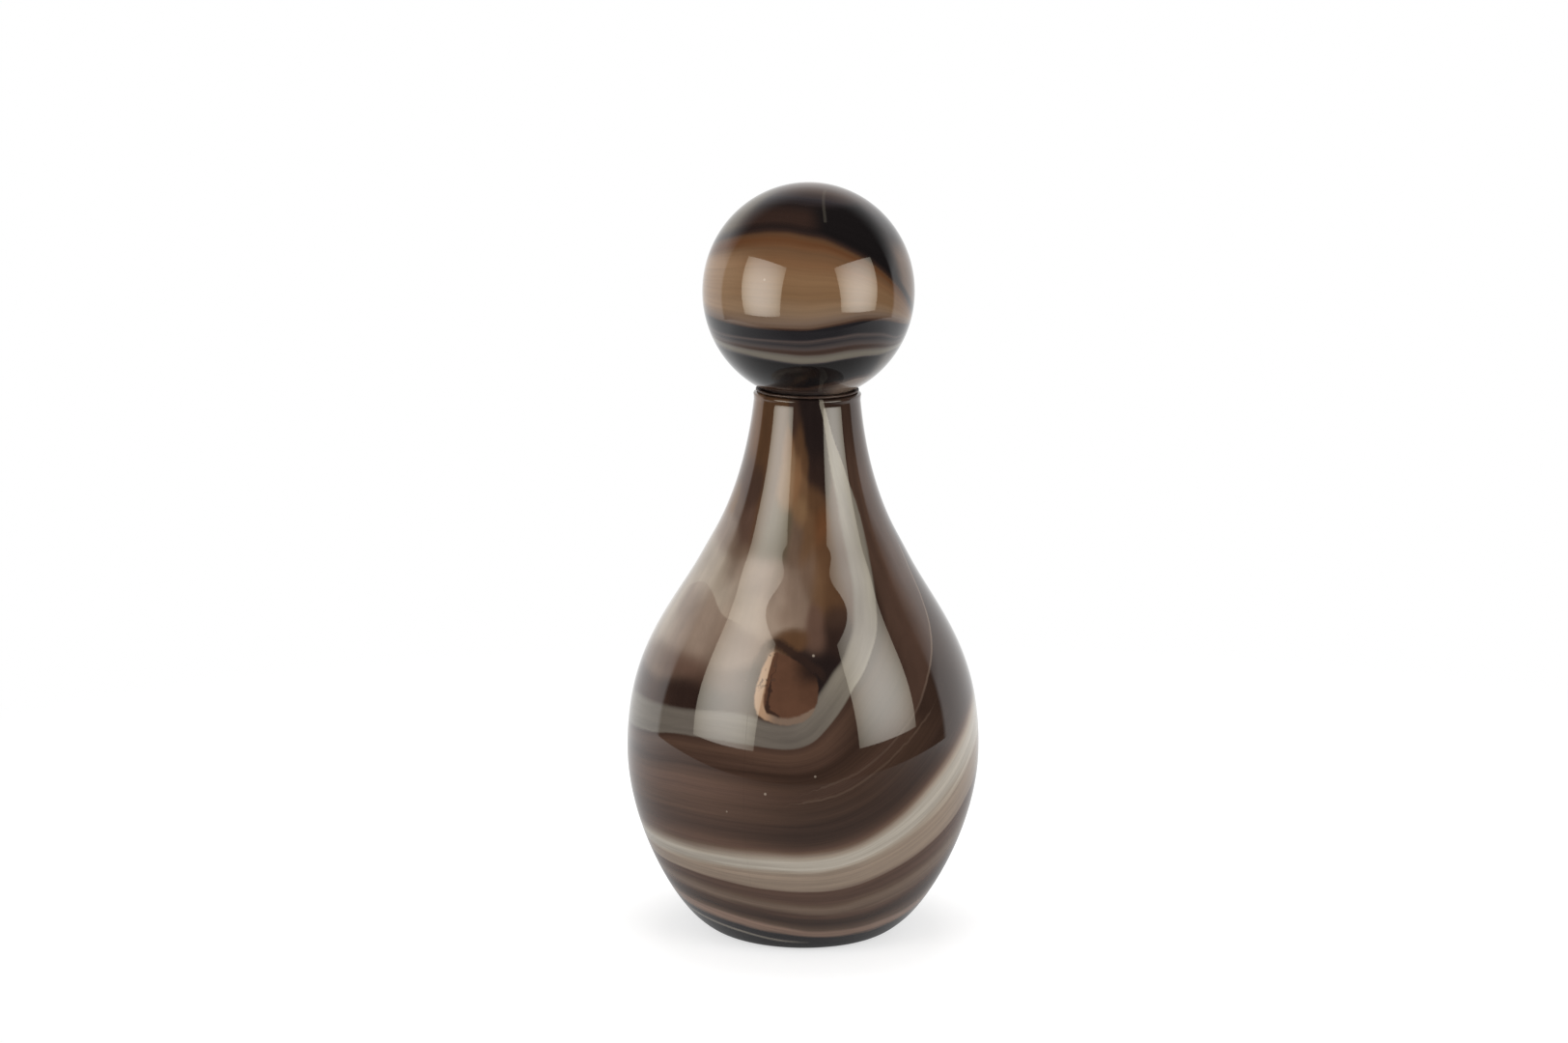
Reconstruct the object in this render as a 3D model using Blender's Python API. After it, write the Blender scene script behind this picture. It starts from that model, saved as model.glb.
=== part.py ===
"""Marbled glass bottle with a ball stopper.

Four turned pieces on one upright axis: the blown bottle, the hollow blown ball,
the glass plug that carries the ball, and the soft sleeve that seals the plug in the mouth.
Metres, +Z up, origin at the centre of the foot.
"""

import math

import bmesh
import bpy

MM = 0.001

# Bottle, outside
FOOT_RADIUS = 34.0 * MM
FOOT_RING_WIDTH = 8.0 * MM
PUNT_RISE = 2.5 * MM
HEEL_WIDTH = 10.1 * MM
HEEL_HEIGHT = 6.1 * MM
HEEL_SLOPE = math.radians(43.5)
HEEL_PULL = 12.7 * MM
BELLY_RADIUS = 70.4 * MM
BELLY_HEIGHT = 74.3 * MM
BELLY_PULL_DOWN = 29.8 * MM
BELLY_PULL_UP = 62.2 * MM
NECK_PULL = 77.4 * MM
NECK_FLARE = math.radians(5.3)
LIP_RADIUS = 20.8 * MM
LIP_HEIGHT = 216.9 * MM
LIP_CROWN = 1.0 * MM

# Bottle, thickness of the glass
MOUTH_WALL = 4.0 * MM
BELLY_WALL = 3.2 * MM
HEEL_WALL = 4.5 * MM
FLOOR_WALL = 6.0 * MM
FLOOR_PULL = 24.0 * MM
FLOOR_ROUND = 5.0 * MM

# Soft sleeve between plug and mouth
SLEEVE_WALL = 1.2 * MM
SLEEVE_DEPTH = 14.0 * MM
FLANGE_THICKNESS = 0.9 * MM
FLANGE_RADIUS = 20.3 * MM

# Glass plug
PLUG_LENGTH = 23.5 * MM
PLUG_TAPER = math.radians(3.3)
PLUG_WALL = 3.4 * MM
PLUG_ROOF = 4.0 * MM
PLUG_END_ROUND = 1.5 * MM
SPIGOT_HEIGHT = 2.6 * MM

# Hollow ball, a little taller than wide
BALL_RADIUS = 41.6 * MM
BALL_HALF_HEIGHT = 42.6 * MM
BALL_WALL = 2.6 * MM
BALL_HOLE_RADIUS = 8.0 * MM

# Clearance wherever two pieces meet
GAP = 0.3 * MM

# Mesh
GLASS_FACETS = 64
PLUG_FACETS = 48
WELD_DISTANCE = 0.003 * MM
SHARP_ANGLE = math.radians(35)

# What follows from the sizes above
HEEL_RADIUS = FOOT_RADIUS + HEEL_WIDTH
MOUTH_RADIUS = LIP_RADIUS - MOUTH_WALL
CROWN_RADIUS = LIP_RADIUS - MOUTH_WALL / 2
SLEEVE_RADIUS = MOUTH_RADIUS - GAP
PLUG_RADIUS = SLEEVE_RADIUS - SLEEVE_WALL - GAP
SPIGOT_RADIUS = BALL_HOLE_RADIUS - GAP


def ball_drop(radius):
    """How far below the ball's centre its outside lies, at this distance from the axis."""
    return BALL_HALF_HEIGHT * math.sqrt(1 - (radius / BALL_RADIUS) ** 2)


# The ball sits on the sleeve's flange, right above the crown of the lip. Both heights are above the lip.
FLANGE_HEIGHT = LIP_CROWN + GAP
BALL_CENTRE = FLANGE_HEIGHT + FLANGE_THICKNESS + GAP + ball_drop(CROWN_RADIUS)


def seat_height(radius):
    """Height above the lip of a seat that follows the ball's underside, one gap below it."""
    return BALL_CENTRE - ball_drop(radius) - GAP


def bezier(start, start_handle, end_handle, end, steps):
    """Points on a cubic curve, both ends included."""
    points = []
    for i in range(steps + 1):
        t = i / steps
        weights = ((1 - t) ** 3, 3 * t * (1 - t) ** 2, 3 * t * t * (1 - t), t**3)
        corners = (start, start_handle, end_handle, end)
        points.append(tuple(sum(w * c[axis] for w, c in zip(weights, corners)) for axis in (0, 1)))
    return points


def rounded_corner(start, corner, end, steps):
    """Points on the parabola that leaves start and reaches end along the lines through the corner."""
    start_handle = tuple((s + 2 * c) / 3 for s, c in zip(start, corner))
    end_handle = tuple((e + 2 * c) / 3 for e, c in zip(end, corner))
    return bezier(start, start_handle, end_handle, end, steps)


def elliptic_arc(centre, across, up, from_angle, to_angle, steps):
    """Points on an arc, both ends included. Angle 0 points away from the axis, 90 degrees up."""
    points = []
    for i in range(steps + 1):
        angle = from_angle + (to_angle - from_angle) * i / steps
        points.append((centre[0] + across * math.cos(angle), centre[1] + up * math.sin(angle)))
    return points


def offset_inward(points, thicknesses):
    """Points as far inside a path that runs down the outside as the thicknesses say."""
    moved = []
    for i, (radius, height) in enumerate(points):
        before = points[max(i - 1, 0)]
        after = points[min(i + 1, len(points) - 1)]
        run = after[0] - before[0]
        rise = after[1] - before[1]
        share = thicknesses[i] / math.hypot(run, rise)
        moved.append((radius + share * rise, height - share * run))
    return moved


def glass(name, colour, roughness, transmission=0.0):
    """A Principled material in the piece's own colour."""
    material = bpy.data.materials.new(name)
    material.use_nodes = True
    shader = material.node_tree.nodes["Principled BSDF"]
    shader.inputs["Base Color"].default_value = (*colour, 1.0)
    shader.inputs["Roughness"].default_value = roughness
    shader.inputs["Metallic"].default_value = 0.0
    shader.inputs["Transmission Weight"].default_value = transmission
    return material


def turned(name, outline, material, facets, ring=False):
    """One solid, made by turning an outline of (radius, height) points about Z.

    The outline of a ring closes on itself; any other starts and ends on the axis.
    """
    work = bmesh.new()
    corners = [work.verts.new((radius, 0, height)) for radius, height in outline]
    pairs = list(zip(corners, corners[1:]))
    if ring:
        pairs.append((corners[-1], corners[0]))
    edges = [work.edges.new(pair) for pair in pairs]
    bmesh.ops.spin(
        work,
        geom=corners + edges,
        axis=(0, 0, 1),
        cent=(0, 0, 0),
        angle=math.tau,
        steps=facets,
        use_merge=True,
        use_duplicate=False,
    )
    bmesh.ops.remove_doubles(work, verts=work.verts, dist=WELD_DISTANCE)
    bmesh.ops.recalc_face_normals(work, faces=work.faces)
    mesh = bpy.data.meshes.new(name)
    work.to_mesh(mesh)
    work.free()
    mesh.shade_smooth()
    mesh.set_sharp_from_angle(angle=SHARP_ANGLE)
    mesh.materials.append(material)
    piece = bpy.data.objects.new(name, mesh)
    bpy.context.scene.collection.objects.link(piece)
    return piece


def axis_empty(name, height, parent=None):
    """An empty on the bottle's axis, for the pieces that move together."""
    empty = bpy.data.objects.new(name, None)
    bpy.context.scene.collection.objects.link(empty)
    empty.location = (0, 0, height)
    empty.parent = parent
    return empty


def bottle_side():
    """The bottle's outside from the lip down to the heel, with the thickness of the glass at each point."""
    lip = (LIP_RADIUS, LIP_HEIGHT)
    belly = (BELLY_RADIUS, BELLY_HEIGHT)
    heel = (HEEL_RADIUS, HEEL_HEIGHT)
    under_lip = (
        LIP_RADIUS + NECK_PULL * math.sin(NECK_FLARE),
        LIP_HEIGHT - NECK_PULL * math.cos(NECK_FLARE),
    )
    over_heel = (
        HEEL_RADIUS + HEEL_PULL * math.cos(HEEL_SLOPE),
        HEEL_HEIGHT + HEEL_PULL * math.sin(HEEL_SLOPE),
    )
    upper_steps = 14
    lower_steps = 8
    upper = bezier(lip, under_lip, (BELLY_RADIUS, BELLY_HEIGHT + BELLY_PULL_UP), belly, upper_steps)
    lower = bezier(belly, (BELLY_RADIUS, BELLY_HEIGHT - BELLY_PULL_DOWN), over_heel, heel, lower_steps)
    side = upper + lower[1:]
    thicknesses = [
        MOUTH_WALL + (BELLY_WALL - MOUTH_WALL) * i / upper_steps for i in range(upper_steps)
    ]
    thicknesses += [
        BELLY_WALL + (HEEL_WALL - BELLY_WALL) * i / lower_steps for i in range(lower_steps + 1)
    ]
    return side, thicknesses


def bottle_outline():
    """From the floor inside, up to the lip, down the outside and under the foot to the axis."""
    side, thicknesses = bottle_side()
    wall_inside = offset_inward(side, thicknesses)[::-2]
    heel_inside = wall_inside[0]
    floor = bezier(
        (0, PUNT_RISE + FLOOR_WALL),
        (FLOOR_PULL, PUNT_RISE + FLOOR_WALL),
        (
            heel_inside[0] - FLOOR_ROUND * math.cos(HEEL_SLOPE),
            heel_inside[1] - FLOOR_ROUND * math.sin(HEEL_SLOPE),
        ),
        heel_inside,
        steps=5,
    )
    crown = elliptic_arc((CROWN_RADIUS, LIP_HEIGHT), MOUTH_WALL / 2, LIP_CROWN, math.pi, 0, steps=8)
    heel_corner = (HEEL_RADIUS - HEEL_HEIGHT / math.tan(HEEL_SLOPE), 0)
    heel = rounded_corner(side[-1], heel_corner, (FOOT_RADIUS, 0), steps=4)
    ring_inside = FOOT_RADIUS - FOOT_RING_WIDTH
    punt_steps = 4
    punt = []
    for i in range(punt_steps + 1):
        share = i / punt_steps
        punt.append((ring_inside * (1 - share), PUNT_RISE * (1 - math.cos(math.pi * share)) / 2))
    return floor + wall_inside[1:] + crown + side[1:] + heel[1:] + punt


def sleeve_outline():
    """Closed section of the sleeve, measured from the lip's widest plane."""
    inside_radius = PLUG_RADIUS + GAP
    narrowing = SLEEVE_DEPTH * math.tan(PLUG_TAPER)
    seat_steps = 4
    seat = []
    for i in range(seat_steps + 1):
        radius = inside_radius + (CROWN_RADIUS - inside_radius) * i / seat_steps
        seat.append((radius, seat_height(radius)))
    half = FLANGE_THICKNESS / 2
    rim = elliptic_arc(
        (FLANGE_RADIUS - half, FLANGE_HEIGHT + half), half, half, math.pi / 2, -math.pi / 2, steps=4
    )
    over_lip = elliptic_arc(
        (CROWN_RADIUS, 0), MOUTH_WALL / 2 + GAP, LIP_CROWN + GAP, math.pi / 2, math.pi, steps=5
    )
    tube = [
        (SLEEVE_RADIUS - narrowing, -SLEEVE_DEPTH),
        (inside_radius - narrowing, -SLEEVE_DEPTH),
        (inside_radius, 0),
    ]
    return seat + rim + over_lip + tube


def plug_outline():
    """From the spigot's top down the tapered outside and up the blind bore, measured from the lip."""
    dish_steps = 4
    dish = []
    for i in range(dish_steps + 1):
        radius = SPIGOT_RADIUS + (PLUG_RADIUS - SPIGOT_RADIUS) * i / dish_steps
        dish.append((radius, seat_height(radius)))
    end_radius = PLUG_RADIUS - PLUG_LENGTH * math.tan(PLUG_TAPER)
    end_round = elliptic_arc(
        (end_radius - PLUG_END_ROUND, PLUG_END_ROUND - PLUG_LENGTH),
        PLUG_END_ROUND,
        PLUG_END_ROUND,
        0,
        -math.pi / 2,
        steps=3,
    )
    spigot_top = seat_height(SPIGOT_RADIUS) + SPIGOT_HEIGHT
    bore_radius = end_radius - PLUG_WALL
    bore_top = seat_height(0) - PLUG_ROOF
    spigot = [(0, spigot_top), (SPIGOT_RADIUS, spigot_top)]
    bore = [(bore_radius, -PLUG_LENGTH), (bore_radius, bore_top), (0, bore_top)]
    return spigot + dish + [(PLUG_RADIUS, 0)] + end_round + bore


def ball_outline():
    """Down the outside of the ball to its hole, then up the inside, measured from the ball's centre."""
    inside_radius = BALL_RADIUS - BALL_WALL
    inside_half_height = BALL_HALF_HEIGHT - BALL_WALL
    hole_outside = -math.acos(BALL_HOLE_RADIUS / BALL_RADIUS)
    hole_inside = -math.acos(BALL_HOLE_RADIUS / inside_radius)
    outside = elliptic_arc((0, 0), BALL_RADIUS, BALL_HALF_HEIGHT, math.pi / 2, hole_outside, steps=24)
    inside = elliptic_arc(
        (0, 0), inside_radius, inside_half_height, hole_inside, math.pi / 2, steps=10
    )
    return outside + inside


def build():
    """Makes the four pieces and hangs the moving ones on empties on the axis."""
    for leftover in list(bpy.data.objects):
        bpy.data.objects.remove(leftover)

    bottle_glass = glass("bottle_glass", (0.105, 0.070, 0.052), 0.05)
    ball_glass = glass("ball_glass", (0.125, 0.080, 0.052), 0.05)
    plug_glass = glass("plug_glass", (0.16, 0.11, 0.08), 0.12, transmission=0.5)
    sleeve_polymer = glass("sleeve_polymer", (0.62, 0.60, 0.55), 0.35, transmission=0.6)

    turned("bottle", bottle_outline(), bottle_glass, GLASS_FACETS)

    lift = axis_empty("stopper_lift", LIP_HEIGHT)
    sleeve = turned("plug_sleeve", sleeve_outline(), sleeve_polymer, PLUG_FACETS, ring=True)
    sleeve.parent = lift

    turn = axis_empty("stopper_turn", 0, parent=lift)
    plug = turned("stopper_plug", plug_outline(), plug_glass, PLUG_FACETS)
    plug.parent = turn
    ball = turned("stopper_ball", ball_outline(), ball_glass, GLASS_FACETS)
    ball.location = (0, 0, BALL_CENTRE)
    ball.parent = turn


build()
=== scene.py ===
"""Looks of the marbled glass bottle with its ball stopper.

Metres in the model's own frame. Places on the glass are written as (degrees, millimetres):
degrees round the upright axis, 0 facing the camera and positive to the right, and height above the foot.
On the ball the second value is the latitude in degrees.
"""

import math

import bpy
import numpy as np
from mathutils import Matrix, Vector


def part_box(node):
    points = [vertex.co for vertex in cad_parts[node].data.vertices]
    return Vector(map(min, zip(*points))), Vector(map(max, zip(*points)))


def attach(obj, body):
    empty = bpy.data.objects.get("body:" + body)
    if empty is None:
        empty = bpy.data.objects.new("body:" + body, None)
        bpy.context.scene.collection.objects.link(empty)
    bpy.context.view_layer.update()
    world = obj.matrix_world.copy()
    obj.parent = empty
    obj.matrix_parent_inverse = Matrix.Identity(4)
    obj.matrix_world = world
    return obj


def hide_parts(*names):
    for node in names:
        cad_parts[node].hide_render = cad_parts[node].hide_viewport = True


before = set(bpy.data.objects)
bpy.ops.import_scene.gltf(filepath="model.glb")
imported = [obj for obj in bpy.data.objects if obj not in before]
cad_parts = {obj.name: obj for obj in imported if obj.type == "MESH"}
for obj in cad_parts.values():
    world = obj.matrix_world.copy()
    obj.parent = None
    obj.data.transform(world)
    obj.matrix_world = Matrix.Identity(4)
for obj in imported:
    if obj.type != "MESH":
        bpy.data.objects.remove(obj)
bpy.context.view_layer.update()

MM = 0.001

# Sizes of the glass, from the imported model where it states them
BOTTLE_LOW, BOTTLE_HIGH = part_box("bottle")
BALL_LOW, BALL_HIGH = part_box("stopper_ball")
SLEEVE_LOW, SLEEVE_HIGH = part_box("plug_sleeve")
PLUG_LOW, PLUG_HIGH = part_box("stopper_plug")
BELLY_RADIUS = (BOTTLE_HIGH[0] - BOTTLE_LOW[0]) / 2
BALL_RADIUS = (BALL_HIGH[0] - BALL_LOW[0]) / 2
BALL_HALF_HEIGHT = 42.6 * MM
BALL_CENTRE = BALL_HIGH[2] - BALL_HALF_HEIGHT
BALL_WALL = 2.6 * MM
BALL_HOLE_RADIUS = 8.0 * MM
LIP_CROWN = 1.0 * MM
LIP_HEIGHT = BOTTLE_HIGH[2] - LIP_CROWN
LIP_RADIUS = 20.8 * MM
MOUTH_WALL = 4.0 * MM
BELLY_WALL = 3.2 * MM
HEEL_WALL = 4.5 * MM
FLOOR_WALL = 6.0 * MM
FLOOR_PULL = 24.0 * MM
FLOOR_ROUND = 5.0 * MM
PUNT_RISE = 2.5 * MM
FOOT_RADIUS = 34.0 * MM
FOOT_RING_WIDTH = 8.0 * MM
HEEL_RADIUS = 44.1 * MM
HEEL_HEIGHT = 6.1 * MM
HEEL_SLOPE = math.radians(43.5)
HEEL_DIRECTION = np.array((math.cos(HEEL_SLOPE), math.sin(HEEL_SLOPE)))
HEEL_PULL = 12.7 * MM
BELLY_HEIGHT = 74.3 * MM
BELLY_PULL_DOWN = 29.8 * MM
BELLY_PULL_UP = 62.2 * MM
NECK_PULL = 77.4 * MM
NECK_FLARE = math.radians(5.3)
# The blown neck stands this much proud of its smooth curve at the shoulder
SWELL = 0.37 * MM
SWELL_HEIGHT = 156.5 * MM
SWELL_REACH = 8 * MM
# The lip's rim flares this much beyond the neck below it
FLARE = 0.42 * MM
FLARE_REACH = 2.5 * MM
FLARE_CURVE = 1.5
FLARE_SPACING = 0.35 * MM
GAP = 0.3 * MM
SLEEVE_WALL = 1.2 * MM
FLANGE_THICKNESS = 0.9 * MM
PLUG_TAPER = math.radians(3.3)
PLUG_WALL = 3.4 * MM
PLUG_ROOF = 4.0 * MM
PLUG_END_ROUND = 1.5 * MM
CROWN_RADIUS = LIP_RADIUS - MOUTH_WALL / 2
SLEEVE_RADIUS = LIP_RADIUS - MOUTH_WALL - GAP
PLUG_RADIUS = SLEEVE_RADIUS - SLEEVE_WALL - GAP

# Mesh: points round each piece, spacing down the bottle's sides, and steps of every other stretch
FACETS = 256
OUTSIDE_SPACING = 1.4 * MM
INSIDE_SPACING = 4 * MM
UPPER_SIDE_STEPS, LOWER_SIDE_STEPS = 1200, 200
FLOOR_STEPS, CROWN_STEPS, HEEL_STEPS, PUNT_STEPS = 12, 20, 14, 16
SEAT_STEPS, FLANGE_STEPS, OVER_LIP_STEPS = 6, 10, 9
DISH_STEPS, PLUG_END_STEPS = 7, 8
BALL_STEPS, BALL_INSIDE_STEPS = 110, 36
SHARP_ANGLE = math.radians(50)
# A point nearer to the axis than this lies on it
ON_AXIS = 0.001 * MM


def bezier(corners, steps):
    """Points on the cubic curve with these four corners, both ends included."""
    t = np.linspace(0, 1, steps + 1)[:, None]
    weights = ((1 - t) ** 3, 3 * t * (1 - t) ** 2, 3 * t * t * (1 - t), t**3)
    return sum(weight * np.array(corner) for weight, corner in zip(weights, corners))


def arc(centre, across, up, from_degrees, to_degrees, steps):
    """Points on an elliptic arc, both ends included."""
    angle = np.radians(np.linspace(from_degrees, to_degrees, steps + 1))
    return np.stack([centre[0] + across * np.cos(angle), centre[1] + up * np.sin(angle)], 1)


def lengths_along(points):
    """Distance along a path from its start to each of its points."""
    return np.concatenate([[0], np.cumsum(np.hypot(*np.diff(points, axis=0).T))])


def spaced(points, spacing):
    """The same path with points about one spacing apart."""
    length = lengths_along(points)
    places_along = np.linspace(0, length[-1], round(length[-1] / spacing) + 1)
    return np.stack([np.interp(places_along, length, points[:, i]) for i in (0, 1)], 1)


def offset_inward(points, thicknesses):
    """Points as far inside a path that runs down the outside as the thicknesses say."""
    steps = np.gradient(points, axis=0)
    steps /= np.hypot(steps[:, 0], steps[:, 1])[:, None]
    return points + thicknesses[:, None] * np.stack([steps[:, 1], -steps[:, 0]], 1)


def lip_flare(heights):
    """How far the lip's rim stands out of the neck's smooth curve at each height."""
    return FLARE * np.clip(1 - (LIP_HEIGHT - heights) / FLARE_REACH, 0, 1) ** FLARE_CURVE


def bottle_side():
    """Outside of the bottle from the lip's widest plane to the belly, and from there to the heel."""
    lip = np.array((LIP_RADIUS, LIP_HEIGHT))
    belly = (BELLY_RADIUS, BELLY_HEIGHT)
    heel = np.array((HEEL_RADIUS, HEEL_HEIGHT))
    under_lip = lip + NECK_PULL * np.array((math.sin(NECK_FLARE), -math.cos(NECK_FLARE)))
    over_heel = heel + HEEL_PULL * HEEL_DIRECTION
    over_belly = (BELLY_RADIUS, BELLY_HEIGHT + BELLY_PULL_UP)
    under_belly = (BELLY_RADIUS, BELLY_HEIGHT - BELLY_PULL_DOWN)
    upper = bezier((lip, under_lip, over_belly, belly), UPPER_SIDE_STEPS)
    upper[:, 0] += SWELL * np.exp(-(((upper[:, 1] - SWELL_HEIGHT) / SWELL_REACH) ** 2))
    upper[:, 0] += lip_flare(upper[:, 1])
    lower = bezier((belly, under_belly, over_heel, heel), LOWER_SIDE_STEPS)
    return upper, lower


UPPER_SIDE, LOWER_SIDE = bottle_side()
SIDE_UPWARDS = np.concatenate([UPPER_SIDE, LOWER_SIDE[1:]])[::-1]
SIDE_LENGTHS = lengths_along(SIDE_UPWARDS)


def bottle_outline():
    """From the floor inside, up to the lip, down the outside and under the foot to the axis."""
    rim_end = np.argmax(UPPER_SIDE[:, 1] < LIP_HEIGHT - FLARE_REACH)
    rim = spaced(UPPER_SIDE[: rim_end + 1], FLARE_SPACING)
    upper = np.concatenate([rim[:-1], spaced(UPPER_SIDE[rim_end:], OUTSIDE_SPACING)])
    lower = spaced(LOWER_SIDE, OUTSIDE_SPACING)
    side = np.concatenate([upper, lower[1:]])
    upper_walls = np.interp(upper[:, 1], (BELLY_HEIGHT, LIP_HEIGHT), (BELLY_WALL, MOUTH_WALL))
    lower_walls = np.linspace(BELLY_WALL, HEEL_WALL, len(lower))[1:]
    thicknesses = np.concatenate([upper_walls, lower_walls]) + lip_flare(side[:, 1])
    wall_inside = spaced(offset_inward(side, thicknesses)[::-1], INSIDE_SPACING)
    floor_height = PUNT_RISE + FLOOR_WALL
    heel_inside = wall_inside[0]
    under_wall = heel_inside - FLOOR_ROUND * HEEL_DIRECTION
    floor_corners = ((0, floor_height), (FLOOR_PULL, floor_height), under_wall, heel_inside)
    floor = bezier(floor_corners, FLOOR_STEPS)
    crown_centre = (CROWN_RADIUS + FLARE / 2, LIP_HEIGHT)
    crown = arc(crown_centre, (MOUTH_WALL + FLARE) / 2, LIP_CROWN, 180, 0, CROWN_STEPS)
    corner = np.array([HEEL_RADIUS - HEEL_HEIGHT / math.tan(HEEL_SLOPE), 0])
    foot = np.array([FOOT_RADIUS, 0])
    heel = bezier((side[-1], (side[-1] + 2 * corner) / 3, (foot + 2 * corner) / 3, foot), HEEL_STEPS)
    ring_inside = FOOT_RADIUS - FOOT_RING_WIDTH
    share = np.linspace(0, 1, PUNT_STEPS + 1)
    punt = np.stack([ring_inside * (1 - share), PUNT_RISE * (1 - np.cos(np.pi * share)) / 2], 1)
    return np.concatenate([floor, wall_inside[1:-1], crown, side[1:], heel[1:], punt])


def seat_height(radius):
    """Height of a seat one gap below the ball."""
    return BALL_CENTRE - BALL_HALF_HEIGHT * np.sqrt(1 - (radius / BALL_RADIUS) ** 2) - GAP


def sleeve_outline():
    """Closed section of the soft sleeve between plug and mouth."""
    inside = PLUG_RADIUS + GAP
    narrowing = (LIP_HEIGHT - SLEEVE_LOW[2]) * math.tan(PLUG_TAPER)
    seat_radii = np.linspace(inside, CROWN_RADIUS, SEAT_STEPS + 1)
    seat = np.stack([seat_radii, seat_height(seat_radii)], 1)
    half = FLANGE_THICKNESS / 2
    rim_centre = (SLEEVE_HIGH[0] - half, LIP_HEIGHT + LIP_CROWN + GAP + half)
    rim = arc(rim_centre, half, half, 90, -90, FLANGE_STEPS)
    lip_centre = (CROWN_RADIUS, LIP_HEIGHT)
    over_lip = arc(lip_centre, MOUTH_WALL / 2 + GAP, LIP_CROWN + GAP, 90, 180, OVER_LIP_STEPS)
    end = [(SLEEVE_RADIUS - narrowing, SLEEVE_LOW[2]), (inside - narrowing, SLEEVE_LOW[2])]
    return np.concatenate([seat, rim, over_lip, end, [(inside, LIP_HEIGHT)]])


def plug_outline():
    """From the spigot's top down the tapered outside and up the blind bore."""
    spigot_radius = BALL_HOLE_RADIUS - GAP
    dish_radii = np.linspace(spigot_radius, PLUG_RADIUS, DISH_STEPS + 1)
    dish = np.stack([dish_radii, seat_height(dish_radii)], 1)
    end_radius = PLUG_RADIUS - (LIP_HEIGHT - PLUG_LOW[2]) * math.tan(PLUG_TAPER)
    round_centre = (end_radius - PLUG_END_ROUND, PLUG_LOW[2] + PLUG_END_ROUND)
    end_round = arc(round_centre, PLUG_END_ROUND, PLUG_END_ROUND, 0, -90, PLUG_END_STEPS)
    bore_radius = end_radius - PLUG_WALL
    bore_top = seat_height(0) - PLUG_ROOF
    spigot = [(0, PLUG_HIGH[2]), (spigot_radius, PLUG_HIGH[2])]
    bore = [(bore_radius, PLUG_LOW[2]), (bore_radius, bore_top), (0, bore_top)]
    return np.concatenate([spigot, dish, [(PLUG_RADIUS, LIP_HEIGHT)], end_round, bore])


def ball_outline():
    """Down the outside of the ball to its hole, then up the inside."""
    inside_radius = BALL_RADIUS - BALL_WALL
    hole_outside = -math.degrees(math.acos(BALL_HOLE_RADIUS / BALL_RADIUS))
    hole_inside = -math.degrees(math.acos(BALL_HOLE_RADIUS / inside_radius))
    centre = (0, BALL_CENTRE)
    outside = arc(centre, BALL_RADIUS, BALL_HALF_HEIGHT, 90, hole_outside, BALL_STEPS)
    inside_half = BALL_HALF_HEIGHT - BALL_WALL
    inside = arc(centre, inside_radius, inside_half, hole_inside, 90, BALL_INSIDE_STEPS)
    return np.concatenate([outside, inside])


def added(name, data):
    """A new object in the scene."""
    made = bpy.data.objects.new(name, data)
    bpy.context.scene.collection.objects.link(made)
    return made


def added_mesh(name, points, faces):
    mesh = bpy.data.meshes.new(name)
    mesh.from_pydata(points, [], faces)
    return added(name, mesh)


def turned(name, outline, node, body, ring=False):
    """A smooth turned piece that stands for one CAD node and rides on its body.

    The outline of a ring closes on itself; others start and end on the axis.
    """
    turns = np.radians(np.arange(FACETS) * 360 / FACETS)
    vertices = []
    rows = []
    for radius, height in outline:
        first = len(vertices)
        if radius < ON_AXIS:
            vertices.append((0, 0, height))
            rows.append([first] * FACETS)
        else:
            vertices.extend((radius * math.sin(t), -radius * math.cos(t), height) for t in turns)
            rows.append(list(range(first, first + FACETS)))
    if ring:
        rows.append(rows[0])
    faces = []
    for above, below in zip(rows, rows[1:]):
        for i in range(FACETS):
            j = (i + 1) % FACETS
            # On the axis two corners are one
            faces.append(list(dict.fromkeys((below[i], below[j], above[j], above[i]))))
    piece = added_mesh(name, vertices, faces)
    piece.data.shade_smooth()
    piece.data.set_sharp_from_angle(angle=SHARP_ANGLE)
    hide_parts(node)
    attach(piece, body)
    return piece


def places(piece):
    """Azimuth in degrees, height and distance from the axis in metres, of each vertex."""
    points = np.empty(len(piece.data.vertices) * 3)
    piece.data.vertices.foreach_get("co", points)
    x, y, z = points.reshape(-1, 3).T
    return np.degrees(np.arctan2(x, -y)), z, np.hypot(x, y)


def store(piece, name, *values):
    """Keeps one or three numbers for each vertex under a name that the material reads."""
    kind, key = ("FLOAT_VECTOR", "vector") if len(values) == 3 else ("FLOAT", "value")
    attribute = piece.data.attributes.new(name, kind, "POINT")
    attribute.data.foreach_set(key, np.stack(values, 1).astype(np.float32).ravel())


def ease(low, high, value):
    """0 at low, 1 at high and smooth between them."""
    t = np.clip((value - low) / (high - low), 0, 1)
    return t * t * (3 - 2 * t)


def smooth_curve(points, where):
    """A guide line through {azimuth: value} points, its corners rounded."""
    step = 0.5
    points = np.array(list(points.items()), float)
    fine = np.arange(points[0, 0], points[-1, 0] + step, step)
    values = np.interp(fine, points[:, 0], points[:, 1])
    reach = round(GUIDE_BLUR / step)
    window = np.hanning(2 * reach + 3)[1:-1]
    values = np.convolve(np.pad(values, reach, mode="edge"), window / window.sum(), "valid")
    return np.interp(where, fine, values)


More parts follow.
